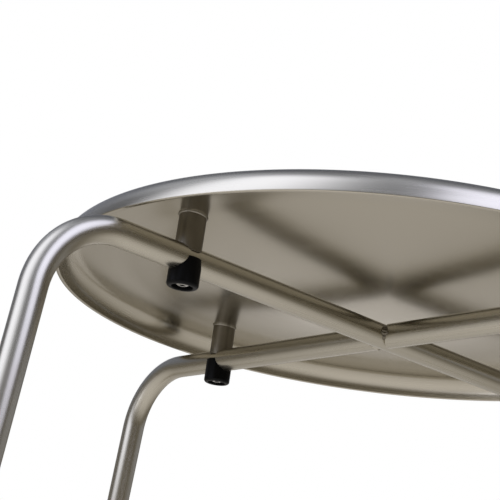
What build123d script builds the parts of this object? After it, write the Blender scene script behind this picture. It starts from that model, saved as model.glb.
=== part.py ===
from build123d import *
import os
from math import acos, atan2, cos, degrees, radians, sin, sqrt

# Metal stool: a round, hollowed seat carried by four posts on a welded cross of bent tubes.
# Millimetres. The origin is on the floor under the seat's centre, +Z is up and -Y is the front.

# Seat pan
SEAT_HEIGHT = 450.0  # floor to the flat border of the seat's top
SEAT_DIAMETER = 340.0
SEAT_SHEET = 2.0  # thickness of the sheet
RIM_BEND_RADIUS = 12.0  # outside radius of the turned-down rim
RIM_SKIRT = 1.2  # straight skirt below the rim's bend
LIP_ROUND = 0.5  # rounding of the rim's lower edges
BORDER_WIDTH = 18.0  # flat border between the rim's bend and the seat's hollow
CREST_WIDTH = 9.0  # where the border curves over into the hollow
HOLLOW_DEPTH = 6.4  # from the border down to the seat's centre

# Tube frame
TUBE_DIAMETER = 12.7
TUBE_WALL = 1.5
FRAME_GAP = 15.1  # clear height from the tubes up to the underside of the seat's border
BEND_SETBACK = 36.0  # from a standoff's axis out to the start of the leg's bend
LEG_BEND_RADIUS = 38.5  # of the tube's centreline
LEG_SPLAY = 4.5  # degrees that each leg leans outwards
BEAD_RADIUS = 2.4  # of the weld beads in the corners of the crossing
BEAD_SINK = 1.4  # how far the beads' centreline dips into the tubes' upper and lower faces
BEAD_CLEARANCE = 0.3  # half the room left between the ends of two neighbouring beads

# Seat standoffs and their welds
STANDOFF_DIAMETER = 12.7
STANDOFF_INSET = 40.0  # from the seat's edge in to a standoff's axis
SADDLE_DEPTH = 3.35  # how far a standoff reaches down the tube's sides
WELD_HEIGHT = 0.9
WELD_WIDTH = 0.6

# Stacking bumpers
BUMPER_EAR = 1.0  # plastic on each side of the tube, level with its axis
BUMPER_DROP = 6.9  # from the tube's underside down to the bumper's foot
BUMPER_ROUND = 1.5  # rounding of the foot's outer edge
MOUTH_CHAMFER = 0.3  # at the mouth of the counterbore

# Bumper screws, button head with a hexagon socket
SCREW_DIAMETER = 4.0
SCREW_ENGAGEMENT = 8.4  # length of thread inside the standoff
SCREW_TIP_CHAMFER = 0.5
HEAD_DIAMETER = 7.6
HEAD_HEIGHT = 2.2
HEAD_EDGE = 0.4  # straight edge under the dome
HEAD_LAND_DIAMETER = 4.9  # flat end of the dome
HEAD_CROWN = 0.25  # how far the dome bulges out of its cone
SOCKET_WIDTH = 2.5  # across the hexagon's flats
SOCKET_DEPTH = 1.3
HEAD_RECESS = 0.8  # from the bumper's foot up to the head
HEAD_CLEARANCE = 1.1  # round the head, in the counterbore
SHANK_CLEARANCE = 0.25  # round the shank, in the bumper and the tube
THREAD_CLEARANCE = 0.05  # round the thread, in the standoff
THREAD_RUNOUT = 1.5  # hole beyond the screw's tip

# Foot glides
GLIDE_FLANGE = 0.65  # how far the head stands out past the tube
GLIDE_HEAD_LENGTH = 5.0  # along the leg's axis, from the tube's end to the floor
GLIDE_STEM_LENGTH = 18.0
GLIDE_CLEARANCE = 0.1  # between the stem's fins and the tube's bore
GLIDE_FIN_DEPTH = 1.2
GLIDE_FIN_PITCH = 5.0
GLIDE_FIN_THICKNESS = 2.0
GLIDE_ROUND = 1.2  # rounding of the head's edge at the floor

# The four arms and the four corners between them, by their turn from +X in degrees
ARMS = {"rear_right": 45, "rear_left": 135, "front_left": 225, "front_right": 315}
THROUGH_ARM = "rear_right"
HALF_ARMS = ("rear_left", "front_right")
CORNERS = {"right": 0, "rear": 90, "left": 180, "front": 270}

# Places that follow from the sizes above
SEAT_RADIUS = SEAT_DIAMETER / 2
UNDERSIDE_Z = SEAT_HEIGHT - SEAT_SHEET
BEND_START_RADIUS = SEAT_RADIUS - RIM_BEND_RADIUS
BORDER_RADIUS = BEND_START_RADIUS - BORDER_WIDTH
HOLLOW_RADIUS = BORDER_RADIUS - CREST_WIDTH
TUBE_RADIUS = TUBE_DIAMETER / 2
TUBE_BORE_RADIUS = TUBE_RADIUS - TUBE_WALL
TUBE_Z = UNDERSIDE_Z - FRAME_GAP - TUBE_RADIUS
STANDOFF_X = SEAT_RADIUS - STANDOFF_INSET
BEND_X = STANDOFF_X + BEND_SETBACK
BUMPER_RADIUS = TUBE_RADIUS + BUMPER_EAR
BUMPER_Z = TUBE_Z - TUBE_RADIUS - BUMPER_DROP
COUNTERBORE_RADIUS = HEAD_DIAMETER / 2 + HEAD_CLEARANCE
SHANK_HOLE_RADIUS = SCREW_DIAMETER / 2 + SHANK_CLEARANCE
HEAD_END_Z = BUMPER_Z + HEAD_RECESS
HEAD_SEAT_Z = HEAD_END_Z + HEAD_HEIGHT
SCREW_TIP_Z = TUBE_Z + TUBE_RADIUS + SCREW_ENGAGEMENT
STANDS_ON_BASE = (Align.CENTER, Align.CENTER, Align.MIN)


def post(radius, low_z, high_z):
    """A vertical cylinder on a standoff's axis, with the arm along +X."""
    return Pos(STANDOFF_X, 0, low_z) * Cylinder(radius, high_z - low_z, align=STANDS_ON_BASE)


def arm_rod():
    """The solid bar that the two straight arms along X would fill."""
    return Pos(0, 0, TUBE_Z) * Rot(0, 90, 0) * Cylinder(TUBE_RADIUS, 2 * BEND_X)


def hollow_section(lift):
    """The underside's section from the flat border in to the seat's axis, or its parallel above it."""
    steepest = 2 * atan2(HOLLOW_DEPTH, BORDER_RADIUS)
    crest_drop = HOLLOW_DEPTH * CREST_WIDTH / BORDER_RADIUS
    turn_r = HOLLOW_RADIUS - lift * sin(steepest)
    turn_z = UNDERSIDE_Z - crest_drop + lift * cos(steepest)
    border_z = UNDERSIDE_Z + lift
    crest = TangentArc((BORDER_RADIUS, border_z), (turn_r, turn_z), tangent=(-1, 0))
    hollow = TangentArc(crest @ 1, (0, border_z - HOLLOW_DEPTH), tangent=crest % 1)
    return [crest, hollow]


def seat_pan():
    """The sheet's section turned about the seat's axis."""
    bend_z = SEAT_HEIGHT - RIM_BEND_RADIUS
    lip_z = bend_z - RIM_SKIRT
    inner_r = SEAT_RADIUS - SEAT_SHEET
    widest_round = 0.4 * SEAT_SHEET
    upper = hollow_section(SEAT_SHEET)
    lower = hollow_section(0)
    top_border = Line(upper[0] @ 0, (BEND_START_RADIUS, SEAT_HEIGHT))
    outer_bend = TangentArc(top_border @ 1, (SEAT_RADIUS, bend_z), tangent=(1, 0))
    outer_skirt = Line(outer_bend @ 1, (SEAT_RADIUS, lip_z))
    lip = Line(outer_skirt @ 1, (inner_r, lip_z))
    inner_skirt = Line(lip @ 1, (inner_r, bend_z))
    inner_bend = TangentArc(inner_skirt @ 1, (BEND_START_RADIUS, UNDERSIDE_Z), tangent=(0, 1))
    lower_border = Line(inner_bend @ 1, lower[0] @ 0)
    axis_side = Line(lower[1] @ 1, upper[1] @ 1)
    rim = [top_border, outer_bend, outer_skirt, lip, inner_skirt, inner_bend, lower_border]
    pan = revolve(Plane.XZ * make_face([*upper, *rim, *lower, axis_side]), axis=Axis.Z)
    lip_edges = pan.edges().filter_by(GeomType.CIRCLE).group_by(Axis.Z)[0]
    return fillet(lip_edges, min(LIP_ROUND, widest_round))


def above_underside():
    """The solid disc that the space above the seat's underside would fill."""
    lower = hollow_section(0)
    edge = Polyline(
        lower[0] @ 0, (BEND_START_RADIUS, UNDERSIDE_Z), (BEND_START_RADIUS, SEAT_HEIGHT),
        (0, SEAT_HEIGHT), lower[1] @ 1,
    )
    return revolve(Plane.XZ * make_face([*lower, *edge.edges()]), axis=Axis.Z)


def leg_path():
    """The tube's centreline from the crossing along +X, round the bend and down to the leg's end."""
    arm = Line((0, TUBE_Z), (BEND_X, TUBE_Z))
    bend = JernArc(arm @ 1, arm % 1, LEG_BEND_RADIUS, LEG_SPLAY - 90)
    to_floor = (bend @ 1).Y / cos(radians(LEG_SPLAY))
    leg = PolarLine(bend @ 1, to_floor - GLIDE_HEAD_LENGTH, direction=bend % 1)
    return Plane.XZ * Wire([arm, bend, leg])


def half_tube():
    """One arm and leg of tube along +X, open at the crossing, with its screw hole."""
    path = leg_path()
    ring = Circle(TUBE_RADIUS) - Circle(TUBE_BORE_RADIUS)
    tube = sweep(Plane(path @ 0, z_dir=path % 0) * ring, path=path)
    return tube - post(SHANK_HOLE_RADIUS, TUBE_Z - TUBE_DIAMETER, TUBE_Z + TUBE_DIAMETER)


def through_leg_tube():
    """Both arms and legs of the tube that runs through the crossing in one piece."""
    half = half_tube()
    return half + Rot(0, 0, 180) * half


def half_leg_tube():
    """An arm and leg whose inner end is coped to the side of the through tube."""
    return half_tube() - Rot(0, 0, 90) * arm_rod()


def cross_weld():
    """A bead in the corner along +X, between the arms that leave it at 45 degrees each side."""
    reach = TUBE_RADIUS * sqrt(2)
    rise = TUBE_RADIUS - BEAD_SINK
    span = degrees(acos((BEAD_RADIUS + BEAD_CLEARANCE) / TUBE_RADIUS))
    arc = EllipticalCenterArc((0, TUBE_Z), reach, rise, start_angle=-span, arc_size=2 * span)
    seam = Plane.XZ * arc
    bead = sweep(Plane(seam @ 0, z_dir=seam % 0) * Circle(BEAD_RADIUS), path=seam)
    return bead - Rot(0, 0, 45) * arm_rod() - Rot(0, 0, -45) * arm_rod()


def seat_standoff():
    """A post with a saddle on the tube, cut to the seat's underside, with a blind screw hole."""
    body = post(STANDOFF_DIAMETER / 2, TUBE_Z + TUBE_RADIUS - SADDLE_DEPTH, UNDERSIDE_Z)
    hole = post(SCREW_DIAMETER / 2 + THREAD_CLEARANCE, TUBE_Z, SCREW_TIP_Z + THREAD_RUNOUT)
    return body - arm_rod() - hole - above_underside()


def standoff_weld():
    """The ring of weld round a standoff's top, as deep all round below the seat's underside."""
    radius = STANDOFF_DIAMETER / 2
    ring = post(radius + WELD_WIDTH, TUBE_Z, UNDERSIDE_Z) - post(radius, TUBE_Z, UNDERSIDE_Z)
    seat = above_underside()
    return (ring & Pos(0, 0, -WELD_HEIGHT) * seat) - seat


def stacking_bumper():
    """A round foot that cradles the tube's lower half, counterbored for the screw's head."""
    wall = BUMPER_RADIUS - COUNTERBORE_RADIUS
    widest_round = 0.7 * wall
    widest_chamfer = 0.2 * wall
    body = post(BUMPER_RADIUS, BUMPER_Z, TUBE_Z)
    body = fillet(body.edges().group_by(Axis.Z)[0], min(BUMPER_ROUND, widest_round))
    body -= post(COUNTERBORE_RADIUS, BUMPER_Z, HEAD_SEAT_Z)
    mouth = body.edges().group_by(Axis.Z)[0].sort_by(SortBy.LENGTH)[0]
    body = chamfer(mouth, min(MOUTH_CHAMFER, widest_chamfer))
    return body - arm_rod() - post(SHANK_HOLE_RADIUS, HEAD_SEAT_Z, TUBE_Z)


def bumper_screw():
    """A button-head screw, head down, turned about the standoff's axis."""
    head_r = HEAD_DIAMETER / 2
    shank_r = SCREW_DIAMETER / 2
    dome_start = (head_r, HEAD_SEAT_Z - HEAD_EDGE)
    land_edge = (HEAD_LAND_DIAMETER / 2, HEAD_END_Z)
    tip_edge = (shank_r, SCREW_TIP_Z - SCREW_TIP_CHAMFER)
    tip_end = (shank_r - SCREW_TIP_CHAMFER, SCREW_TIP_Z)
    dome = SagittaArc(dome_start, land_edge, -HEAD_CROWN)
    sides = Polyline(
        land_edge, (0, HEAD_END_Z), (0, SCREW_TIP_Z), tip_end, tip_edge,
        (shank_r, HEAD_SEAT_Z), (head_r, HEAD_SEAT_Z), dome_start,
    )
    screw = revolve(Plane.XZ * make_face([*dome.edges(), *sides.edges()]), axis=Axis.Z)
    socket = RegularPolygon(SOCKET_WIDTH / 2, 6, major_radius=False)
    screw -= Pos(0, 0, HEAD_END_Z) * extrude(socket, SOCKET_DEPTH)
    return Pos(STANDOFF_X, 0, 0) * screw


def foot_glide():
    """A finned plug in the leg's end, with a head cut level with the floor."""
    path = leg_path()
    fin_r = TUBE_BORE_RADIUS - GLIDE_CLEARANCE
    head_r = TUBE_RADIUS + GLIDE_FLANGE
    overlong = GLIDE_HEAD_LENGTH + head_r
    head = Cylinder(head_r, overlong, align=STANDS_ON_BASE)
    stem = Pos(0, 0, -GLIDE_STEM_LENGTH) * Cylinder(
        fin_r - GLIDE_FIN_DEPTH, GLIDE_STEM_LENGTH, align=STANDS_ON_BASE
    )
    fin = Cylinder(fin_r, GLIDE_FIN_THICKNESS, align=STANDS_ON_BASE)
    fin_count = int((GLIDE_STEM_LENGTH - GLIDE_FIN_THICKNESS) / GLIDE_FIN_PITCH)
    glide = head + stem
    for i in range(fin_count):
        glide += Pos(0, 0, -GLIDE_FIN_PITCH * (i + 1)) * fin
    glide = Plane(path @ 1, x_dir=(0, 1, 0), z_dir=path % 1).location * glide
    glide = split(glide, bisect_by=Plane.XY, keep=Keep.TOP)
    return fillet(glide.edges().group_by(Axis.Z)[0], GLIDE_ROUND)


def turned(shape, turn):
    """A shape made along +X, turned about the seat's axis to its own arm or corner."""
    return Rot(0, 0, turn) * shape


def build():
    """Every node's name and its shape, in place."""
    nodes = {"seat_pan": seat_pan()}
    nodes["through_leg_tube"] = turned(through_leg_tube(), ARMS[THROUGH_ARM])
    for arm in HALF_ARMS:
        nodes[f"half_leg_tube_{arm}"] = turned(half_leg_tube(), ARMS[arm])
    for corner, turn in CORNERS.items():
        nodes[f"cross_weld_{corner}"] = turned(cross_weld(), turn)
    for arm, turn in ARMS.items():
        nodes[f"seat_standoff_{arm}"] = turned(seat_standoff(), turn)
        nodes[f"standoff_weld_{arm}"] = turned(standoff_weld(), turn)
        nodes[f"stacking_bumper_{arm}"] = turned(stacking_bumper(), turn)
        nodes[f"foot_glide_{arm}"] = turned(foot_glide(), turn)
    nodes["bumper_screws"] = Compound([turned(bumper_screw(), turn).solid() for turn in ARMS.values()])
    return nodes


os.makedirs("parts", exist_ok=True)
for name, shape in build().items():
    export_step(shape, f"parts/{name}.step")
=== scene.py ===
import math

import bpy
import numpy as np
from mathutils import Matrix, Vector


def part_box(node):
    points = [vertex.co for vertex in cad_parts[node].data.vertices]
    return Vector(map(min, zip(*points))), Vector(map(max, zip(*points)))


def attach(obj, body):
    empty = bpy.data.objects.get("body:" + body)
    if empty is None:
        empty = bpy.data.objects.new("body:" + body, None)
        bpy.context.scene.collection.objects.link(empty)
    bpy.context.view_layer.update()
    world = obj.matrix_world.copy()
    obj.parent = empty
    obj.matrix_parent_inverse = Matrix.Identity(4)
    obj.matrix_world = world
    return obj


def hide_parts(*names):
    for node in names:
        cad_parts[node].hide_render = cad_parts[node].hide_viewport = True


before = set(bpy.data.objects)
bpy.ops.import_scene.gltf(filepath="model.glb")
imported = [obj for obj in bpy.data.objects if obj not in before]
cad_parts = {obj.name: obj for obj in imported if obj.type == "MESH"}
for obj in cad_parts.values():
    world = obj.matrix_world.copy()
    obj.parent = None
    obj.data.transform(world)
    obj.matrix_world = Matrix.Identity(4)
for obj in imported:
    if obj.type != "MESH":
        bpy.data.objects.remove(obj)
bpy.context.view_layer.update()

# A round brushed-metal stool, seen from below its seat. Metres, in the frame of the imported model.

MM = 0.001

# Levels that the frame gives
seat_low, seat_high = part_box("seat_pan")
post_low, post_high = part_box("seat_standoff_rear_right")
bumper_low, bumper_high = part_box("stacking_bumper_rear_right")
screw_low, screw_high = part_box("bumper_screws")
SEAT_TOP_Z = seat_high.z
LIP_Z = seat_low.z
SADDLE_Z = post_low.z
TUBE_Z = bumper_high.z
BUMPER_Z = bumper_low.z
HEAD_END_Z = screw_low.z
SCREW_TIP_Z = screw_high.z
POST_REACH = ((post_low + post_high) / 2).to_2d().length

# Seat pan
SEAT_RADIUS = 170 * MM
SEAT_SHEET = 2 * MM
RIM_BEND_RADIUS = 12 * MM
LIP_ROUND = 0.55 * MM
BORDER_WIDTH = 18 * MM  # flat border between the rim's bend and the hollow
CREST_WIDTH = 9 * MM  # where the border curves over into the hollow
HOLLOW_DEPTH = 6.4 * MM
SEAT_RING_STEP = 3 * MM  # between the rings of the disc
RIM_STEPS = 28  # round the outside of the rim's bend
INNER_RIM_STEPS = 24
LIP_STEPS = 6  # round each edge of the lip
UNDERSIDE_Z = SEAT_TOP_Z - SEAT_SHEET
BEND_START_RADIUS = SEAT_RADIUS - RIM_BEND_RADIUS
BORDER_RADIUS = BEND_START_RADIUS - BORDER_WIDTH
HOLLOW_RADIUS = BORDER_RADIUS - CREST_WIDTH
STEEPEST = 2 * math.atan2(HOLLOW_DEPTH, BORDER_RADIUS)  # slope where the crest meets the hollow

# Tube frame
TUBE_RADIUS = 6.35 * MM
TUBE_WALL = 1.5 * MM
BEND_SETBACK = 36 * MM
LEG_BEND_RADIUS = 38.5 * MM
LEG_SPLAY = math.radians(4.5)
BEND_START = POST_REACH + BEND_SETBACK
COPE_EDGE = 0.7 * MM  # broken edge of the half tubes' cut ends
COPE_RINGS = 4  # from a cut end to the first whole ring
ARM_RING_STEP = 8 * MM
BEND_RINGS = 36
LEG_RING_STEP = 12 * MM

# Welds in the corners of the crossing
BEAD_RADIUS = 2.1 * MM  # of the weld's hollow face
BEAD_HALF_HEIGHT = 4.9 * MM
BEAD_ROOT = 0.8 * MM  # depth of the weld inside the corner
BEAD_RIPPLE = 2.3 * MM  # from one ripple of the weld to the next
BEAD_RIPPLE_DEPTH = 0.55 * MM
BEAD_RIPPLE_BOW = 0.4  # rise of a ripple at mid face, as a share of their distance
BEAD_WANDER = 0.18  # share by which the weld's size varies along it
SLOW_WAVE = 2.3  # turns of that variation over half the weld, in radians
FAST_WAVE = 6.1
FAST_SHARE = 0.6
BEAD_RINGS = 97

# Standoffs and the weld rings at their tops
POST_RADIUS = 6.35 * MM
POST_EDGE = 0.12 * MM
THREAD_HOLE_RADIUS = 2.05 * MM
THREAD_RUNOUT = 1.5 * MM
POST_SADDLE_RINGS = 6
RING_WIDTH = 0.6 * MM
RING_HEIGHT = 0.9 * MM
RING_RIPPLES = 26
RING_RIPPLE_DEPTH = 0.05 * MM
RING_FACE_STEPS = 8

# Stacking bumpers
BUMPER_RADIUS = 7.35 * MM
BUMPER_ROUND = 1.5 * MM
BUMPER_EDGE = 0.3 * MM
MOUTH_CHAMFER = 0.3 * MM
COUNTERBORE_RADIUS = 4.9 * MM
SHANK_HOLE_RADIUS = 2.25 * MM
BUMPER_ROUND_STEPS = 10
BUMPER_SADDLE_RINGS = 12

# Bumper screws
SHANK_RADIUS = 2 * MM
HEAD_RADIUS = 3.8 * MM
HEAD_HEIGHT = 2.2 * MM
HEAD_EDGE = 0.4 * MM
HEAD_LAND_RADIUS = 1.65 * MM
SOCKET_APOTHEM = 1.25 * MM
SOCKET_DEPTH = 1.3 * MM
SOCKET_LEAD = 0.12 * MM  # bevel round the socket's mouth
TIP_CHAMFER = 0.5 * MM
THREAD_PITCH = 0.7 * MM
THREAD_DEPTH = 0.35 * MM
RINGS_PER_PITCH = 6
HEAD_DOME_STEPS = 10
HEAD_SEAT_Z = HEAD_END_Z + HEAD_HEIGHT

# Foot glides
GLIDE_RADIUS = 7.0 * MM
GLIDE_HEAD_LENGTH = 5 * MM
GLIDE_STEM_LENGTH = 18 * MM
GLIDE_FIN_RADIUS = 4.75 * MM
GLIDE_FIN_DEPTH = 1.2 * MM
GLIDE_FIN_PITCH = 5 * MM
GLIDE_FIN_THICKNESS = 2 * MM
GLIDE_FINS = 3
GLIDE_ROUND = 1.2 * MM
GLIDE_EDGE = 0.4 * MM
GLIDE_EDGE_STEPS = 4
GLIDE_ROUND_STEPS = 6

ARMS = {"rear_right": 45, "rear_left": 135, "front_left": 225, "front_right": 315}
HALF_ARMS = ("rear_left", "front_right")
CORNERS = {"right": 0, "rear": 90, "left": 180, "front": 270}

# Points round a ring
SEAT_POINTS = 288
TUBE_POINTS = 64
POST_POINTS = 128
SCREW_POINTS = 96
BEAD_POINTS = 24  # across a weld's face

POLE_SIZE = 1e-9  # a ring shorter than this is a pole
CREASE = 32  # degrees between faces from which an edge is drawn sharp
BEAD_CREASE = 60


# Surfaces through rings of points


def angles(count):
    return np.linspace(0, 2 * math.pi, count, endpoint=False)


def arc(centre, radius, start, end, steps):
    """Points of an arc in a section, as (radius, height) pairs; the angles are in degrees."""
    turns = np.radians(np.linspace(start, end, steps + 1))
    return [(centre[0] + radius * math.cos(t), centre[1] + radius * math.sin(t)) for t in turns]


def level_ring(radius, z, count):
    """A level ring about the Z axis; its radius may change from point to point."""
    round_it = angles(count)
    return np.stack([radius * np.cos(round_it), radius * np.sin(round_it), np.full(count, z)], axis=1)


def turned(profile, count):
    """Rings of a section turned about the Z axis."""
    return [level_ring(r, z, count) for r, z in profile]


def skin(rings, loop=False):
    """Points, faces and grain coordinates of a closed surface through rings of equal point counts.

    A ring of no size becomes a pole. With loop, the last ring joins the first. The grain
    coordinates are metres round the widest ring and metres along the rings.
    """
    grid = np.array(rings + rings[:1] if loop else rings)
    steps, count = grid.shape[:2]
    spans = np.linalg.norm(grid - np.roll(grid, -1, axis=1), axis=2).sum(axis=1)
    around = np.linspace(0, spans.max(), count + 1)
    advances = np.linalg.norm(np.diff(grid, axis=0), axis=2).mean(axis=1)
    along = np.concatenate([[0], np.cumsum(advances)])
    poles = spans < POLE_SIZE
    ids = np.arange(steps * count).reshape(steps, count)
    ids[poles] = ids[poles][:, :1]
    if loop:
        ids[-1] = ids[0]
    near, far = grid[:-1], grid[1:]
    near_next, far_next = np.roll(near, -1, axis=1), np.roll(far, -1, axis=1)
    volume = (near * np.cross(near_next, far_next)).sum() + (near * np.cross(far_next, far)).sum()
    faces, grain = [], []
    for k in range(steps - 1):
        for i in range(count):
            j = (i + 1) % count
            corners = [
                (ids[k, i], around[i], along[k]),
                (ids[k, j], around[i + 1], along[k]),
                (ids[k + 1, j], around[i + 1], along[k + 1]),
                (ids[k + 1, i], around[i], along[k + 1]),
            ]
            if poles[k]:
                corners.pop(1)
            if poles[k + 1]:
                corners.pop()
            if volume < 0:
                corners.reverse()
            faces.append([c[0] for c in corners])
            grain.extend((c[1], c[2]) for c in corners)
    used, faces_flat = np.unique(np.concatenate(faces), return_inverse=True)
    sizes = np.cumsum([len(f) for f in faces])[:-1]
    faces = [f.tolist() for f in np.split(faces_flat.ravel(), sizes)]
    return grid.reshape(-1, 3)[used], faces, np.array(grain)


def copies(surface, matrices):
    """Several moved copies of a surface as one."""
    points, faces, grain = surface
    all_points, all_faces = [], []
    for n, matrix in enumerate(matrices):
        m = np.array(matrix)
        all_points.append(points @ m[:3, :3].T + m[:3, 3])
        all_faces.extend([[i + n * len(points) for i in f] for f in faces])
    return np.concatenate(all_points), all_faces, np.concatenate([grain] * len(matrices))


def turn_about_z(degrees):
    return Matrix.Rotation(math.radians(degrees), 4, "Z")


def add_piece(node, surface, material, turn=0, place=(0, 0, 0), crease=CREASE):
    """A mesh piece that stands for one CAD node: made at place, then turned about the seat's axis."""
    points, faces, grain = surface
    rotation = turn_about_z(turn)
    name = node + "_finished"
    mesh = bpy.data.meshes.new(name)
    mesh.from_pydata((points @ np.array(rotation)[:3, :3].T).tolist(), [], faces)
    mesh.uv_layers.new(name="grain").data.foreach_set("uv", grain.astype(np.float32).ravel())
    mesh.shade_smooth()
    mesh.set_sharp_from_angle(angle=math.radians(crease))
    mesh.materials.append(material)
    piece = bpy.data.objects.new(name, mesh)
    bpy.context.scene.collection.objects.link(piece)
    piece.location = rotation @ Vector(place)
    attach(piece, "root")
    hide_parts(node)


# The pieces


def underside_height(r):
    """Height of the seat's underside at distances r from its axis."""
    hollow_curve = HOLLOW_RADIUS / math.sin(STEEPEST)
    crest_curve = CREST_WIDTH / math.sin(STEEPEST)
    into_border = np.clip(BORDER_RADIUS - r, 0, CREST_WIDTH)
    crest = UNDERSIDE_Z - crest_curve + np.sqrt(crest_curve**2 - into_border**2)
    into_hollow = np.clip(r, 0, HOLLOW_RADIUS)
    hollow = UNDERSIDE_Z - HOLLOW_DEPTH + hollow_curve - np.sqrt(hollow_curve**2 - into_hollow**2)
    return np.where(r < HOLLOW_RADIUS, hollow, crest)


def seat_pan():
    """The sheet's section, from the middle of the top round the rim to the middle of the underside."""
    bend_z = SEAT_TOP_Z - RIM_BEND_RADIUS
    inner_r = SEAT_RADIUS - SEAT_SHEET
    disc = np.linspace(0, BEND_START_RADIUS, round(BEND_START_RADIUS / SEAT_RING_STEP) + 1)
    heights = underside_height(disc)
    sheet = SEAT_SHEET * np.hypot(1, np.gradient(heights, disc))
    lip_z = LIP_Z + LIP_ROUND
    profile = list(zip(disc[:-1], (heights + sheet)[:-1]))
    profile += arc((BEND_START_RADIUS, bend_z), RIM_BEND_RADIUS, 90, 0, RIM_STEPS)
    profile += arc((SEAT_RADIUS - LIP_ROUND, lip_z), LIP_ROUND, 0, -90, LIP_STEPS)
    profile += arc((inner_r + LIP_ROUND, lip_z), LIP_ROUND, -90, -180, LIP_STEPS)
    profile += arc((BEND_START_RADIUS, bend_z), RIM_BEND_RADIUS - SEAT_SHEET, 0, 90, INNER_RIM_STEPS)
    profile += list(zip(disc[-2::-1], heights[-2::-1]))
    return skin(turned(profile, SEAT_POINTS))


def leg_stations(start):
    """Places on an arm's centreline from start to the leg's end, as (reach, height, heading)."""
    arm = np.linspace(start, BEND_START, round((BEND_START - start) / ARM_RING_STEP) + 1)
    stations = [(x, TUBE_Z, 0.0) for x in arm]
    sweep = math.pi / 2 - LEG_SPLAY
    for turn in np.linspace(0, sweep, BEND_RINGS + 1)[1:]:
        reach = BEND_START + LEG_BEND_RADIUS * math.sin(turn)
        stations.append((reach, TUBE_Z - LEG_BEND_RADIUS * (1 - math.cos(turn)), -turn))
    reach, height, heading = stations[-1]
    length = height / math.cos(LEG_SPLAY) - GLIDE_HEAD_LENGTH
    for run in np.linspace(0, length, round(length / LEG_RING_STEP) + 1)[1:]:
        stations.append((reach + run * math.sin(LEG_SPLAY), height - run * math.cos(LEG_SPLAY), heading))
    return stations


def station_ring(station, radius, count=TUBE_POINTS):
    """A ring round the centreline, square to it, that starts at the tube's upper side."""
    reach, height, heading = station
    out = radius * np.cos(angles(count))
    side = radius * np.sin(angles(count))
    return np.stack([reach - out * math.sin(heading), side, height + out * math.cos(heading)], axis=1)


def coped(ring):
    """A ring moved along X onto the side of the tube that crosses it at the origin."""
    rise = ring[:, 2] - TUBE_Z
    moved = ring.copy()
    moved[:, 0] = np.sqrt(np.maximum(TUBE_RADIUS**2 - rise**2, 0))
    return moved


def through_leg_tube():
    right = leg_stations(0)
    left = [(-x, z, -heading) for x, z, heading in right[:0:-1]]
    bore = TUBE_RADIUS - TUBE_WALL
    outside = [station_ring(s, TUBE_RADIUS) for s in left + right]
    inside = [station_ring(s, bore) for s in left + right]
    return skin(outside + inside[::-1], loop=True)


def half_leg_tube():
    """An arm and leg whose inner end is cut to the side of the through tube, with a broken edge."""
    stations = leg_stations(2 * TUBE_RADIUS)
    outside = [station_ring(s, TUBE_RADIUS) for s in stations]
    inside = [station_ring(s, TUBE_RADIUS - TUBE_WALL) for s in stations]
    cut = coped(station_ring(stations[0], TUBE_RADIUS - COPE_EDGE))
    outer_end = outside[0].copy()
    outer_end[:, 0] = cut[:, 0] + COPE_EDGE
    walls = []
    for end, rings in ((outer_end, outside), (coped(inside[0]), inside)):
        shares = np.linspace(0, 1, COPE_RINGS, endpoint=False)
        walls.append([end + share * (rings[0] - end) for share in shares] + rings)
    return skin([cut] + walls[0] + walls[1][::-1], loop=True)


def cross_weld(seed):
    """A fillet of weld in the corner that opens along +X, with a hollow, rippled face."""
    slow, fast, shift = np.random.default_rng(seed).uniform(0, 2 * math.pi, 3)
    across = np.linspace(0, 1, BEAD_POINTS)
    rings = []
    for level in np.linspace(-1, 1, BEAD_RINGS):
        wander = math.sin(SLOW_WAVE * level + slow) + FAST_SHARE * math.sin(FAST_WAVE * level + fast)
        size = BEAD_RADIUS * (1 + BEAD_WANDER * wander)
        size *= math.sqrt(max(1 - level**4, 0))
        reach = TUBE_RADIUS + size
        rise = BEAD_HALF_HEIGHT * level * reach / (TUBE_RADIUS + BEAD_RADIUS)
        out = math.sqrt(2 * (reach**2 - rise**2))
        ball = np.array([out, 0, rise])
        sides = []
        for side in (-1, 1):
            axis_point = np.array([out / 2, side * out / 2, 0])
            sides.append((axis_point - ball) / reach)
        bend = math.acos(np.clip(sides[0] @ sides[1], -1, 1))
        from_first = np.sin((1 - across) * bend)[:, None] * sides[0]
        from_second = np.sin(across * bend)[:, None] * sides[1]
        ways = (from_first + from_second) / math.sin(bend)
        bow = BEAD_RIPPLE_BOW * BEAD_RIPPLE * np.cos(math.pi * (across - 0.5))
        ripple = np.abs(np.sin(math.pi * (level * BEAD_HALF_HEIGHT + bow) / BEAD_RIPPLE + shift))
        swell = BEAD_RIPPLE_DEPTH * ripple * np.sin(math.pi * across) * size / BEAD_RADIUS
        face = ball + (size - swell)[:, None] * ways
        root = face + (BEAD_ROOT * np.sin(math.pi * across))[:, None] * (ways.sum(axis=0) / len(ways))
        rings.append(np.concatenate([face, root[-2:0:-1]]) + [0, 0, TUBE_Z])
    for end in (0, -1):
        rings[end] = np.broadcast_to(rings[end].mean(axis=0), rings[end].shape)
    return skin(rings)


def saddle_height(y, low, side):
    """Height of the tube's upper (side 1) or lower (side -1) face over y, or the level that stops it."""
    face = TUBE_Z + side * np.sqrt(np.maximum(TUBE_RADIUS**2 - y**2, 0))
    return np.maximum(face, low) if side > 0 else np.minimum(face, low)


def saddle_ring(radius, low, side, lift=0.0):
    """A ring of the given radius that follows the tube along X."""
    x = radius * np.cos(angles(POST_POINTS))
    y = radius * np.sin(angles(POST_POINTS))
    return np.stack([x, y, saddle_height(y, low, side) + lift], axis=1)


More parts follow.
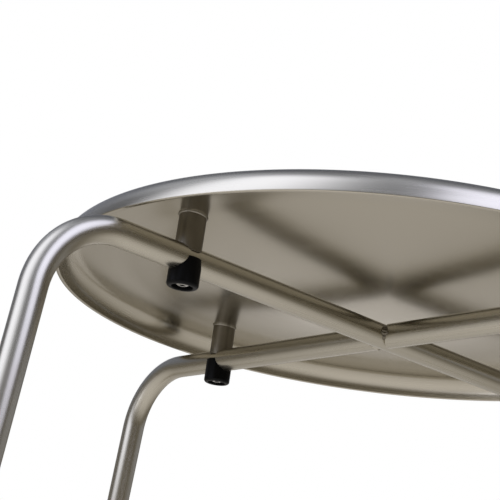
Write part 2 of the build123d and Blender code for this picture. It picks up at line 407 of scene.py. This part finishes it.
def edge_round(outer, low, side, size, steps=4):
    """Rings that round the edge between an upright wall and the saddle that ends it."""
    rings = []
    for turn in np.linspace(0, math.pi / 2, steps + 1):
        inset = size * (1 - math.cos(turn))
        lift = side * size * (1 - math.sin(turn))
        rings.append(saddle_ring(outer - inset, low, side, lift))
    return rings


def under_seat_ring(radius, drop=0.0):
    """A ring about a post's axis, with the arm along +X, that follows the seat's underside."""
    x = radius * np.cos(angles(POST_POINTS))
    y = radius * np.sin(angles(POST_POINTS))
    return np.stack([x, y, underside_height(np.hypot(POST_REACH + x, y)) - drop], axis=1)


def seat_standoff():
    rings = [under_seat_ring(radius) for radius in (0, POST_RADIUS / 2, POST_RADIUS)]
    rings += turned([(POST_RADIUS, (UNDERSIDE_Z + TUBE_Z) / 2)], POST_POINTS)
    rings += edge_round(POST_RADIUS, SADDLE_Z, 1, POST_EDGE)
    for radius in np.linspace(POST_RADIUS - POST_EDGE, THREAD_HOLE_RADIUS, POST_SADDLE_RINGS + 1)[1:]:
        rings.append(saddle_ring(radius, SADDLE_Z, 1))
    hole_end = SCREW_TIP_Z + THREAD_RUNOUT
    rings += turned([(THREAD_HOLE_RADIUS, hole_end), (0, hole_end)], POST_POINTS)
    return skin(rings)


def standoff_weld():
    """The ring where a standoff meets the seat, with a convex, faintly rippled face."""
    ripple = RING_RIPPLE_DEPTH * np.cos(RING_RIPPLES * angles(POST_POINTS))
    rings = [under_seat_ring(POST_RADIUS)]
    for turn in np.linspace(0, math.pi / 2, RING_FACE_STEPS + 1):
        radius = POST_RADIUS + RING_WIDTH * math.cos(turn) + ripple * math.sin(2 * turn)
        rings.append(under_seat_ring(radius, RING_HEIGHT * math.sin(turn)))
    return skin(rings, loop=True)


def stacking_bumper():
    """A round foot under the tube, from its foot's edge up the outside and down the screw's hole."""
    round_centre = (BUMPER_RADIUS - BUMPER_ROUND, BUMPER_Z + BUMPER_ROUND)
    rings = turned(arc(round_centre, BUMPER_ROUND, -90, 0, BUMPER_ROUND_STEPS), POST_POINTS)
    rings += edge_round(BUMPER_RADIUS, TUBE_Z, -1, BUMPER_EDGE)
    inward = np.linspace(BUMPER_RADIUS - BUMPER_EDGE, SHANK_HOLE_RADIUS, BUMPER_SADDLE_RINGS + 1)
    rings += [saddle_ring(radius, TUBE_Z, -1) for radius in inward[1:]]
    bore = [
        (SHANK_HOLE_RADIUS, HEAD_SEAT_Z),
        (COUNTERBORE_RADIUS, HEAD_SEAT_Z),
        (COUNTERBORE_RADIUS, BUMPER_Z + MOUTH_CHAMFER),
        (COUNTERBORE_RADIUS + MOUTH_CHAMFER, BUMPER_Z),
    ]
    rings += turned(bore, POST_POINTS)
    return skin(rings, loop=True)


def hexagon(apothem, z):
    """A hexagonal ring with as many points as the screw's round rings."""
    sixth = math.pi / 3
    radius = apothem / np.cos((angles(SCREW_POINTS) % sixth) - sixth / 2)
    return level_ring(radius, z, SCREW_POINTS)


def threaded_ring(z):
    """A ring of the shank whose radius follows the thread's helix."""
    turn = (z / THREAD_PITCH - angles(SCREW_POINTS) / (2 * math.pi)) % 1
    radius = SHANK_RADIUS - THREAD_DEPTH * (1 - np.abs(2 * turn - 1))
    return level_ring(radius, z, SCREW_POINTS)


def bumper_screw():
    """A socket screw, head down, from its tip to the bottom of its socket."""
    thread_end = SCREW_TIP_Z - TIP_CHAMFER
    rings = turned([(0, SCREW_TIP_Z), (SHANK_RADIUS - TIP_CHAMFER, SCREW_TIP_Z)], SCREW_POINTS)
    thread_rings = round((thread_end - TUBE_Z) / (THREAD_PITCH / RINGS_PER_PITCH))
    rings += [threaded_ring(z) for z in np.linspace(thread_end, TUBE_Z, thread_rings)]
    rings += turned([(SHANK_RADIUS, TUBE_Z), (SHANK_RADIUS, HEAD_SEAT_Z)], SCREW_POINTS)
    rings += turned([(HEAD_RADIUS, HEAD_SEAT_Z)], SCREW_POINTS)
    dome_height = HEAD_HEIGHT - HEAD_EDGE
    dome_width = HEAD_RADIUS - HEAD_LAND_RADIUS
    for turn in np.linspace(0, math.pi / 2, HEAD_DOME_STEPS + 1):
        radius = HEAD_LAND_RADIUS + dome_width * math.cos(turn)
        rings += turned([(radius, HEAD_END_Z + dome_height * (1 - math.sin(turn)))], SCREW_POINTS)
    rings += [hexagon(SOCKET_APOTHEM + SOCKET_LEAD, HEAD_END_Z)]
    rings += [hexagon(SOCKET_APOTHEM, HEAD_END_Z + SOCKET_LEAD)]
    rings += [hexagon(SOCKET_APOTHEM, HEAD_END_Z + SOCKET_DEPTH)]
    rings += turned([(0, HEAD_END_Z + SOCKET_DEPTH)], SCREW_POINTS)
    return skin(rings)


def foot_glide():
    """A finned plug in the leg's end, along +X, with a head cut level with the floor."""
    reach, height, heading = leg_stations(0)[-1]

    def along(depth, radius):
        """A ring of the plug, depth below the tube's end."""
        x = reach + depth * math.sin(LEG_SPLAY)
        z = height - depth * math.cos(LEG_SPLAY)
        return station_ring((x, z, heading), radius, SCREW_POINTS)

    def level(z, inset):
        """A ring of the head cut level at height z."""
        x = reach + (height - z) * math.tan(LEG_SPLAY)
        wide = GLIDE_RADIUS / math.cos(LEG_SPLAY) - inset
        deep = GLIDE_RADIUS - inset
        round_it = angles(SCREW_POINTS)
        return np.stack(
            [x + wide * np.cos(round_it), deep * np.sin(round_it), np.full(SCREW_POINTS, z)], axis=1
        )

    core = GLIDE_FIN_RADIUS - GLIDE_FIN_DEPTH
    rings = [along(-GLIDE_STEM_LENGTH, 0), along(-GLIDE_STEM_LENGTH, core)]
    for n in range(GLIDE_FINS, 0, -1):
        low = -GLIDE_FIN_PITCH * n
        high = low + GLIDE_FIN_THICKNESS
        rings += [along(low, core), along(low, GLIDE_FIN_RADIUS)]
        rings += [along(high, GLIDE_FIN_RADIUS), along(high, core)]
    rings += [along(0, core), along(0, GLIDE_RADIUS - GLIDE_EDGE)]
    for turn in np.linspace(0, math.pi / 2, GLIDE_EDGE_STEPS + 1)[1:]:
        depth = GLIDE_EDGE * (1 - math.cos(turn))
        rings.append(along(depth, GLIDE_RADIUS - GLIDE_EDGE * (1 - math.sin(turn))))
    for turn in np.linspace(0, math.pi / 2, GLIDE_ROUND_STEPS + 1):
        inset = GLIDE_ROUND * (1 - math.cos(turn))
        rings.append(level(GLIDE_ROUND * (1 - math.sin(turn)), inset))
    rings.append(level(0, GLIDE_RADIUS) * [0, 0, 1] + [reach + height * math.tan(LEG_SPLAY), 0, 0])
    return skin(rings)


# Materials

NOISE_RANGE = (0.3, 0.7)  # within which most values of a noise lie
FINE_DETAIL = 4.0  # octaves of the noise that makes the scratches
STREAK_DETAIL = 3.0
STREAK_WIDTH = 9  # of a streak, in scratches
STREAK_STRETCH = 0.6  # streaks change less along them than scratches do
CLOUD_SCALE = 24.0  # patches of wear in a metre
CLOUD_DETAIL = 3.0
SCRATCH_ROUGHNESS = 0.03  # by which the roughness varies with the scratches
CLOUD_ROUGHNESS = 0.015  # and with the wear
SCRATCH_DEPTH = 0.004 * MM
RIM_FADE = (BEND_START_RADIUS - 2 * MM, BEND_START_RADIUS + 4 * MM)  # from the disc's finish to the rim's

MOULD_SCALE = 2600.0  # grains of the plastic's skin in a metre
MOULD_DETAIL = 2.0
MOULD_DEPTH = 0.05 * MM
MOULD_STRENGTH = 0.25
RUB_SCALE = 420.0  # marks of wear in a metre
RUB_DETAIL = 5.0
RUB_HEIGHT = 1.4 * MM  # above the resting face, where the wear ends
RUB_LOW = 0.75  # share of the paler tint at the resting face
RUB_HIGH = 0.1  # and above the wear
RUB_ROUGHNESS = (-0.06, 0.08)  # by which the roughness varies with the wear
PLASTIC_SHEEN = 0.08


def new_material(name):
    material = bpy.data.materials.new(name)
    material.use_nodes = True
    return material, material.node_tree, material.node_tree.nodes["Principled BSDF"]


def add_node(tree, kind, inputs=None, **settings):
    """A new node with some settings and some of its inputs set or linked."""
    node = tree.nodes.new(kind)
    for key, value in settings.items():
        setattr(node, key, value)
    for key, value in (inputs or {}).items():
        if isinstance(value, bpy.types.NodeSocket):
            tree.links.new(value, node.inputs[key])
        else:
            node.inputs[key].default_value = value
    return node


def grain_along(tree, across, lengthwise):
    """Noise coordinates for brushing along the rings: fine across it, stretched lengthwise."""
    uv = add_node(tree, "ShaderNodeUVMap", uv_map="grain")
    scaled = add_node(tree, "ShaderNodeVectorMath", {0: uv.outputs[0]}, operation="MULTIPLY")
    scaled.inputs[1].default_value = (across, lengthwise, 1)
    return scaled.outputs[0]


def grain_round(tree, across, lengthwise):
    """Noise coordinates for brushing round the piece's own Z axis, with no seam."""
    place = add_node(tree, "ShaderNodeTexCoord")
    flat = add_node(tree, "ShaderNodeVectorMath", {0: place.outputs["Object"]}, operation="MULTIPLY")
    flat.inputs[1].default_value = (1, 1, 0)
    unit = add_node(tree, "ShaderNodeVectorMath", {0: flat.outputs[0]}, operation="NORMALIZE")
    stretched = add_node(tree, "ShaderNodeVectorMath", {0: unit.outputs[0]}, operation="MULTIPLY")
    stretched.inputs[1].default_value = (lengthwise, lengthwise, 0)
    uv = add_node(tree, "ShaderNodeUVMap", uv_map="grain")
    rows = add_node(tree, "ShaderNodeVectorMath", {0: uv.outputs[0]}, operation="MULTIPLY")
    rows.inputs[1].default_value = (0, across, 0)
    apart = add_node(tree, "ShaderNodeSeparateXYZ", {0: rows.outputs[0]})
    upright = add_node(tree, "ShaderNodeCombineXYZ", {"Z": apart.outputs["Y"]})
    both = add_node(tree, "ShaderNodeVectorMath", {0: stretched.outputs[0], 1: upright.outputs[0]})
    return both.outputs[0]


def spread(tree, value, low, high):
    """A noise value spread over a range of numbers."""
    ranges = {"From Min": NOISE_RANGE[0], "From Max": NOISE_RANGE[1], "To Min": low, "To Max": high}
    return add_node(tree, "ShaderNodeMapRange", {"Value": value, **ranges}).outputs[0]


def rim_share(tree, amount):
    """The amount on the seat's rim, fading to nothing on its disc."""
    place = add_node(tree, "ShaderNodeTexCoord")
    flat = add_node(tree, "ShaderNodeVectorMath", {0: place.outputs["Object"]}, operation="MULTIPLY")
    flat.inputs[1].default_value = (1, 1, 0)
    reach = add_node(tree, "ShaderNodeVectorMath", {0: flat.outputs[0]}, operation="LENGTH")
    ranges = {"From Min": RIM_FADE[0], "From Max": RIM_FADE[1], "To Max": amount}
    return add_node(tree, "ShaderNodeMapRange", {"Value": reach.outputs["Value"], **ranges}).outputs[0]


def noise(tree, place, scale, detail):
    """Noise values at the given coordinates."""
    inputs = {"Vector": place, "Scale": scale, "Detail": detail}
    return add_node(tree, "ShaderNodeTexNoise", inputs).outputs["Fac"]


def tinted(tree, factor, dark, light):
    """A colour between two tints."""
    node = add_node(tree, "ShaderNodeMix", data_type="RGBA")
    tree.links.new(factor, node.inputs["Factor"])
    node.inputs[6].default_value = (*dark, 1)
    node.inputs[7].default_value = (*light, 1)
    return node.outputs[2]


def brushed_metal(name, grain, dark, light, roughness, across, lengthwise, bump, rim_roughness=None):
    """Satin metal: fine scratches one way, broader streaks among them, and faint cloudy wear.

    With rim_roughness, the metal turns from its roughness to that one at the seat's rim.
    """
    material, tree, shader = new_material(name)
    fine = noise(tree, grain(tree, across, lengthwise), 1.0, FINE_DETAIL)
    streak_grain = grain(tree, across / STREAK_WIDTH, lengthwise * STREAK_STRETCH)
    streaks = noise(tree, streak_grain, 1.0, STREAK_DETAIL)
    place = add_node(tree, "ShaderNodeTexCoord")
    clouds = noise(tree, place.outputs["Object"], CLOUD_SCALE, CLOUD_DETAIL)
    both = add_node(tree, "ShaderNodeMath", {0: fine, 1: streaks}, operation="ADD").outputs[0]
    brushing = add_node(tree, "ShaderNodeMath", {0: both, 1: 0.5}, operation="MULTIPLY").outputs[0]
    tree.links.new(tinted(tree, brushing, dark, light), shader.inputs["Base Color"])
    rough = spread(tree, brushing, roughness - SCRATCH_ROUGHNESS, roughness + SCRATCH_ROUGHNESS)
    additions = [spread(tree, clouds, -CLOUD_ROUGHNESS, CLOUD_ROUGHNESS)]
    if rim_roughness is not None:
        additions.append(rim_share(tree, rim_roughness - roughness))
    for addition in additions:
        rough = add_node(tree, "ShaderNodeMath", {0: rough, 1: addition}, operation="ADD").outputs[0]
    tree.links.new(rough, shader.inputs["Roughness"])
    relief = {"Height": brushing, "Strength": bump, "Distance": SCRATCH_DEPTH}
    tree.links.new(add_node(tree, "ShaderNodeBump", relief).outputs[0], shader.inputs["Normal"])
    shader.inputs["Metallic"].default_value = 1.0
    return material


def moulded_plastic(name, dark, light, roughness, worn_z):
    """Near-black plastic with a fine moulded skin, rubbed paler where it rests."""
    material, tree, shader = new_material(name)
    place = add_node(tree, "ShaderNodeTexCoord")
    moulded = noise(tree, place.outputs["Object"], MOULD_SCALE, MOULD_DETAIL)
    rub = noise(tree, place.outputs["Object"], RUB_SCALE, RUB_DETAIL)
    height = add_node(tree, "ShaderNodeSeparateXYZ", {0: place.outputs["Object"]})
    ranges = {"From Min": worn_z, "From Max": worn_z + RUB_HEIGHT, "To Min": RUB_LOW, "To Max": RUB_HIGH}
    low = add_node(tree, "ShaderNodeMapRange", {"Value": height.outputs["Z"], **ranges})
    worn = add_node(tree, "ShaderNodeMath", {0: low.outputs[0], 1: rub}, operation="MULTIPLY")
    tree.links.new(tinted(tree, worn.outputs[0], dark, light), shader.inputs["Base Color"])
    rough = spread(tree, rub, roughness + RUB_ROUGHNESS[0], roughness + RUB_ROUGHNESS[1])
    tree.links.new(rough, shader.inputs["Roughness"])
    relief = {"Height": moulded, "Strength": MOULD_STRENGTH, "Distance": MOULD_DEPTH}
    tree.links.new(add_node(tree, "ShaderNodeBump", relief).outputs[0], shader.inputs["Normal"])
    shader.inputs["Specular IOR Level"].default_value = PLASTIC_SHEEN
    return material


SEAT_METAL = brushed_metal(
    "satin_seat_sheet", grain_round, dark=(0.42, 0.39, 0.317), light=(0.44, 0.41, 0.333),
    roughness=0.235, across=2600, lengthwise=5, bump=0.02, rim_roughness=0.26,
)
TUBE_METAL = brushed_metal(
    "satin_tube", grain_along, dark=(0.405, 0.378, 0.310), light=(0.445, 0.417, 0.342),
    roughness=0.28, across=2600, lengthwise=26, bump=0.05,
)
# Painted shade: the standoffs' metal is given about half the tubes' brightness, to stand in for the shade
# they show under the seat.
SHADED_POST_METAL = brushed_metal(
    "turned_post_painted_shade", grain_round, dark=(0.185, 0.166, 0.130), light=(0.21, 0.19, 0.149),
    roughness=0.38, across=3200, lengthwise=4, bump=0.04,
)
WELD_METAL = brushed_metal(
    "dressed_weld", grain_along, dark=(0.008, 0.007, 0.005), light=(0.27, 0.24, 0.18),
    roughness=0.36, across=1100, lengthwise=900, bump=0.5,
)
RING_METAL = brushed_metal(
    "heat_tinted_weld", grain_along, dark=(0.25, 0.23, 0.185), light=(0.29, 0.27, 0.22),
    roughness=0.32, across=900, lengthwise=900, bump=0.2,
)
# Partly painted shade: the screws' plated metal has its own tone, dimmed further to stand in for the
# shadow in the bumpers' counterbores.
DIMMED_SCREW_METAL = brushed_metal(
    "plated_screw_painted_shade", grain_along, dark=(0.33, 0.32, 0.295), light=(0.38, 0.368, 0.34),
    roughness=0.2, across=2600, lengthwise=26, bump=0.1,
)
BUMPER_PLASTIC = moulded_plastic(
    "bumper_black", dark=(0.001, 0.001, 0.001), light=(0.012, 0.0117, 0.011),
    roughness=0.42, worn_z=BUMPER_Z,
)
GLIDE_PLASTIC = moulded_plastic(
    "glide_black", dark=(0.002, 0.002, 0.002), light=(0.02, 0.0195, 0.0185),
    roughness=0.45, worn_z=0.0,
)


# Assembly


def build_stool():
    add_piece("seat_pan", seat_pan(), SEAT_METAL)
    add_piece("through_leg_tube", through_leg_tube(), TUBE_METAL, ARMS["rear_right"])
    half = half_leg_tube()
    for arm in HALF_ARMS:
        add_piece(f"half_leg_tube_{arm}", half, TUBE_METAL, ARMS[arm])
    for seed, (corner, turn) in enumerate(CORNERS.items()):
        weld = cross_weld(seed)
        add_piece(f"cross_weld_{corner}", weld, WELD_METAL, turn, crease=BEAD_CREASE)
    on_post = (POST_REACH, 0, 0)
    on_arm = {
        "seat_standoff": (seat_standoff(), "post_metal", SHADED_POST_METAL, on_post),
        "standoff_weld": (standoff_weld(), "weld_metal", RING_METAL, on_post),
        "stacking_bumper": (stacking_bumper(), "bumper_plastic", BUMPER_PLASTIC, on_post),
        "foot_glide": (foot_glide(), "glide_plastic", GLIDE_PLASTIC, (0, 0, 0)),
    }
    for kind, (surface, slot, material, place) in on_arm.items():
        for arm, turn in ARMS.items():
            add_piece(f"{kind}_{arm}", surface, material, turn, place)
    posts = [turn_about_z(turn) @ Matrix.Translation(on_post) for turn in ARMS.values()]
    add_piece("bumper_screws", copies(bumper_screw(), posts), DIMMED_SCREW_METAL)


build_stool()


# Studio

FLOOR_SIZE = 8.0
FLOOR_DARK = (0.80, 0.785, 0.75)
FLOOR_LIGHT = (0.84, 0.825, 0.79)
FLOOR_MOTTLE = 3.0  # patches of the floor's tints in a metre
FLOOR_DETAIL = 2.0
FLOOR_ROUGHNESS = 0.9
FLOOR_SHEEN = 0.1
FADE_START = 0.7  # from the stool, where the floor begins to fade to white
FADE_END = 2.8
AMBIENT = 0.5  # light of the surroundings on matt surfaces
SIGHT_Z = 0.4  # height from which the surroundings are described
SIGHT = Vector((0, 0, SIGHT_Z))
SOFTBOX_DISTANCE = 2.2
SOFTBOX_RADIANCE = 2.1
SOFTBOX_COLOUR = (0.94, 0.97, 1.0)
SURROUND_RADIUS = 1.0  # of the floor that the metal mirrors; the dome stands on its edge
SURROUND_LIFT = 1 * MM  # of that floor over the real one
SURROUND_FLOOR_RINGS = 41
SURROUND_DOME_STEPS = 60
SURROUND_POINTS = 180
HORIZON = (-5, -1)  # degrees of rise over which the floor gives way to the walls
LEFT_BOX = 2.15  # radiance of the softboxes as metal mirrors them
RIGHT_BOX = 2.1
FAR_FLOOR = 0.2  # radiance of the mirrored floor away from the light
WALL_GLOW = (0.93, 1.0, 1.24)
LEFT_GLOW = (0.94, 1.0, 1.25)
RIGHT_GLOW = (0.95, 1.0, 1.36)
FAR_FLOOR_GLOW = (1.12, 1.0, 0.80)
NEAR_FLOOR_GLOW = (1.01, 1.0, 1.05)
LAMP_FLOOR_GLOW = (0.97, 1.0, 1.18)


def background_ray(tree):
    """1 where the camera, a reflection or clear glass looks at the background."""
    path = add_node(tree, "ShaderNodeLightPath")
    seen = add_node(
        tree, "ShaderNodeMath",
        {0: path.outputs["Is Camera Ray"], 1: path.outputs["Is Glossy Ray"]}, operation="ADD",
    )
    either = add_node(
        tree, "ShaderNodeMath",
        {0: seen.outputs[0], 1: path.outputs["Is Transmission Ray"]}, operation="ADD",
    )
    return either.outputs[0]


def add_floor():
    """A pale floor that takes the stool's shadow and fades to the white background."""
    mesh = bpy.data.meshes.new("floor")
    half = FLOOR_SIZE / 2
    corners = [(-half, -half, 0), (half, -half, 0), (half, half, 0), (-half, half, 0)]
    mesh.from_pydata(corners, [], [(0, 1, 2, 3)])
    floor = bpy.data.objects.new("floor", mesh)
    bpy.context.scene.collection.objects.link(floor)
    material, tree, shader = new_material("pale_floor")
    place = add_node(tree, "ShaderNodeTexCoord")
    mottle = noise(tree, place.outputs["Object"], FLOOR_MOTTLE, FLOOR_DETAIL)
    tree.links.new(tinted(tree, mottle, FLOOR_DARK, FLOOR_LIGHT), shader.inputs["Base Color"])
    shader.inputs["Roughness"].default_value = FLOOR_ROUGHNESS
    shader.inputs["Specular IOR Level"].default_value = FLOOR_SHEEN
    reach = add_node(tree, "ShaderNodeVectorMath", {0: place.outputs["Object"]}, operation="LENGTH")
    ranges = {"From Min": FADE_START, "From Max": FADE_END}
    far = add_node(
        tree, "ShaderNodeMapRange", {"Value": reach.outputs["Value"], **ranges},
        interpolation_type="SMOOTHSTEP",
    )
    shown = add_node(
        tree, "ShaderNodeMath", {0: far.outputs[0], 1: background_ray(tree)}, operation="MULTIPLY"
    )
    white = add_node(tree, "ShaderNodeEmission", {"Color": (1, 1, 1, 1), "Strength": 1.0})
    mix = add_node(
        tree, "ShaderNodeMixShader", {0: shown.outputs[0], 1: shader.outputs[0], 2: white.outputs[0]}
    )
    tree.links.new(mix.outputs[0], tree.nodes["Material Output"].inputs["Surface"])
    mesh.materials.append(material)


def add_world():
    """White to the camera and in reflections and through glass, and a plain soft light on all else."""
    world = bpy.data.worlds.new("studio")
    bpy.context.scene.world = world
    world.use_nodes = True
    tree = world.node_tree
    tree.nodes.clear()
    light = add_node(tree, "ShaderNodeBackground", {"Color": (1, 1, 1, 1), "Strength": AMBIENT})
    white = add_node(tree, "ShaderNodeBackground", {"Color": (1, 1, 1, 1), "Strength": 1.0})
    mix = add_node(
        tree, "ShaderNodeMixShader", {0: background_ray(tree), 1: light.outputs[0], 2: white.outputs[0]}
    )
    out = add_node(tree, "ShaderNodeOutputWorld")
    tree.links.new(mix.outputs[0], out.inputs["Surface"])


def add_softbox(name, azimuth, elevation, width, height):
    """A soft lamp that faces the stool, for matt surfaces; metal mirrors the surroundings instead.

    The azimuth counts from +X, and both angles are in degrees.
    """
    lamp = bpy.data.lights.new(name, "AREA")
    lamp.shape = "RECTANGLE"
    lamp.size, lamp.size_y = width, height
    lamp.energy = SOFTBOX_RADIANCE * math.pi * width * height
    lamp.color = SOFTBOX_COLOUR
    box = bpy.data.objects.new(name, lamp)
    bpy.context.scene.collection.objects.link(box)
    a, e = math.radians(azimuth), math.radians(elevation)
    way = Vector((math.cos(a) * math.cos(e), math.sin(a) * math.cos(e), math.sin(e)))
    box.location = SIGHT + SOFTBOX_DISTANCE * way
    box.rotation_euler = (-way).to_track_quat("-Z", "Y").to_euler()
    box.visible_camera = False
    box.visible_glossy = False


def ramp(value, low, high):
    """0 below low, 1 above high, with a smooth change between."""
    t = np.clip((value - low) / (high - low), 0, 1)
    return t * t * (3 - 2 * t)


def span(value, rise, fall):
    """1 between two soft edges, each with its start and its end."""
    return ramp(value, *rise) * (1 - ramp(value, *fall))


def bearings(points):
    """Degrees to the side of straight in front, rightwards, and degrees of rise, both from the sight."""
    x, y, z = points.T
    return np.degrees(np.arctan2(x, -y)), np.degrees(np.arctan2(z - SIGHT_Z, np.hypot(x, y)))


def dome_glow(points):
    """What metal mirrors round the stool: two tall softboxes at the front, paler walls, a dim back.

    Each soft edge is a pair of degrees, its start and its end.
    """
    side, rise = bearings(points)
    foot = 0.15 * (1 - ramp(rise, 4, 20))
    walls = 0.18 * ramp(rise, 4, 20)
    top = 0.12 * ramp(rise, 62, 88)
    ceiling = 0.13 * span(side, (-120, -60), (100, 140)) * ramp(rise, 48, 68)
    left_flat = 0.6 * span(side, (-138, -88), (-95, -72)) * span(rise, (25, 48), (62, 82))
    left_low = 0.12 * span(side, (-155, -140), (-112, -95)) * (1 - ramp(rise, 25, 45))
    right_low = 0.28 * span(side, (72, 97), (150, 170)) * (1 - ramp(rise, 18, 35))
    between = 0.24 * span(side, (-42, -22), (10, 22)) * ramp(rise, 1, 15)
    back = ramp(np.abs(side), 140, 165) * span(rise, (14, 24), (34, 50))
    cool = walls + top + ceiling + left_flat + left_low + right_low + between + 0.12 * back
    warm = foot + 0.15 * back

    # The softboxes' edges shift with the rise: lean near their feet, drift higher up
    lean = ramp(rise, 6, 24)
    drift = ramp(rise, 18, 55)
    left = span(side, (4 * lean - 92, 5 * lean - 66), (6 * lean - 50, 12 * lean - 16))
    left *= LEFT_BOX * span(rise, (-6, 5), (54, 76))
    inner = 6 * drift - 7 * lean
    right = span(side, (10 + inner, 26 + inner), (46 + 14 * drift, 70 + 24 * drift))
    right *= RIGHT_BOX * span(rise, (3, 14), (57, 79))
    surroundings = np.outer(cool, WALL_GLOW) + np.outer(warm, FAR_FLOOR_GLOW)
    return surroundings + np.outer(left, LEFT_GLOW) + np.outer(right, RIGHT_GLOW)


def soft_patch(points, centre, width, depth):
    """1 at the centre of a patch on the floor, fading to nothing over its width and depth."""
    x, y = points.T[:2]
    return np.exp(-(((x - centre[0]) / width) ** 2) - ((y - centre[1]) / depth) ** 2)


def floor_glow(points):
    """The floor as metal mirrors it: a pool of light, a sweep behind the stool, the left lamp's foot."""
    pool = 0.65 * soft_patch(points, (-0.05, -0.2), 1.1, 0.76)
    sweep = 0.76 * soft_patch(points, (-0.06, 2.4), 0.68, 1.6)
    spill = 0.47 * soft_patch(points, (-1.0, -0.8), 0.85, 0.6)
    lamp_foot = 2.4 * soft_patch(points, (-1.29, -0.82), 0.45, 0.27)
    far = np.outer(np.full(len(points), FAR_FLOOR), FAR_FLOOR_GLOW)
    return far + np.outer(pool + sweep, NEAR_FLOOR_GLOW) + np.outer(spill + lamp_foot, LAMP_FLOOR_GLOW)


def add_surroundings():
    """A glowing floor and dome that only mirror-like surfaces see, as a studio is set round metal."""
    drop = math.degrees(math.atan2(SIGHT_Z - SURROUND_LIFT, SURROUND_RADIUS))
    dome_radius = math.hypot(SURROUND_RADIUS, SIGHT_Z - SURROUND_LIFT)
    profile = [(r, SURROUND_LIFT) for r in np.linspace(0, SURROUND_RADIUS, SURROUND_FLOOR_RINGS)]
    profile += arc((0, SIGHT_Z), dome_radius, -drop, 90, SURROUND_DOME_STEPS)[1:]
    points, faces, _ = skin(turned(profile, SURROUND_POINTS))
    # Below the horizon the dome shows the floor beyond it, where the line from the sight meets it
    sight_drop = np.maximum(SIGHT_Z - points[:, 2:], SURROUND_LIFT)
    floor_beyond = floor_glow(points * SIGHT_Z / sight_drop)
    walls = ramp(bearings(points)[1], *HORIZON)[:, None]
    colours = np.ones((len(points), 4))
    colours[:, :3] = walls * dome_glow(points) + (1 - walls) * floor_beyond
    mesh = bpy.data.meshes.new("surroundings")
    mesh.from_pydata(points.tolist(), [], faces)
    glow = mesh.color_attributes.new(name="glow", type="FLOAT_COLOR", domain="POINT")
    glow.data.foreach_set("color", colours.astype(np.float32).ravel())
    material = bpy.data.materials.new("surroundings")
    material.use_nodes = True
    tree = material.node_tree
    tree.nodes.clear()
    colour = add_node(tree, "ShaderNodeVertexColor", layer_name="glow")
    light = add_node(tree, "ShaderNodeEmission", {"Color": colour.outputs["Color"], "Strength": 1.0})
    out = add_node(tree, "ShaderNodeOutputMaterial")
    tree.links.new(light.outputs[0], out.inputs["Surface"])
    mesh.materials.append(material)
    surroundings = bpy.data.objects.new("surroundings", mesh)
    bpy.context.scene.collection.objects.link(surroundings)
    surroundings.visible_camera = False
    surroundings.visible_diffuse = False
    surroundings.visible_shadow = False


def light_studio():
    add_floor()
    add_world()
    add_surroundings()
    add_softbox("left_softbox", azimuth=215, elevation=33, width=2.25, height=2.5)
    add_softbox("right_softbox", azimuth=316, elevation=38, width=2.2, height=2.4)


light_studio()


# Camera

CAMERA_PLACE = (-3.857 * MM, -658.44 * MM, 244.365 * MM)
CAMERA_HEADING = 6.0704  # degrees from +Y towards -X
CAMERA_TILT = 18.4372  # degrees above the horizon
CAMERA_ROLL = 8.2203  # degrees that its right side is raised
CAMERA_LENS = 96.334  # millimetres, as is the sensor's width
SENSOR_WIDTH = 36
CLIP_START = 0.01


def add_camera():
    data = bpy.data.cameras.new("camera")
    data.lens = CAMERA_LENS
    data.sensor_width = SENSOR_WIDTH
    data.clip_start = CLIP_START
    camera = bpy.data.objects.new("camera", data)
    bpy.context.scene.collection.objects.link(camera)
    camera.matrix_world = (
        Matrix.Translation(CAMERA_PLACE)
        @ Matrix.Rotation(math.radians(CAMERA_HEADING), 4, "Z")
        @ Matrix.Rotation(math.radians(90 + CAMERA_TILT), 4, "X")
        @ Matrix.Rotation(math.radians(CAMERA_ROLL), 4, "Z")
    )
    bpy.context.scene.camera = camera


add_camera()
bpy.context.scene.view_settings.view_transform = "Standard"
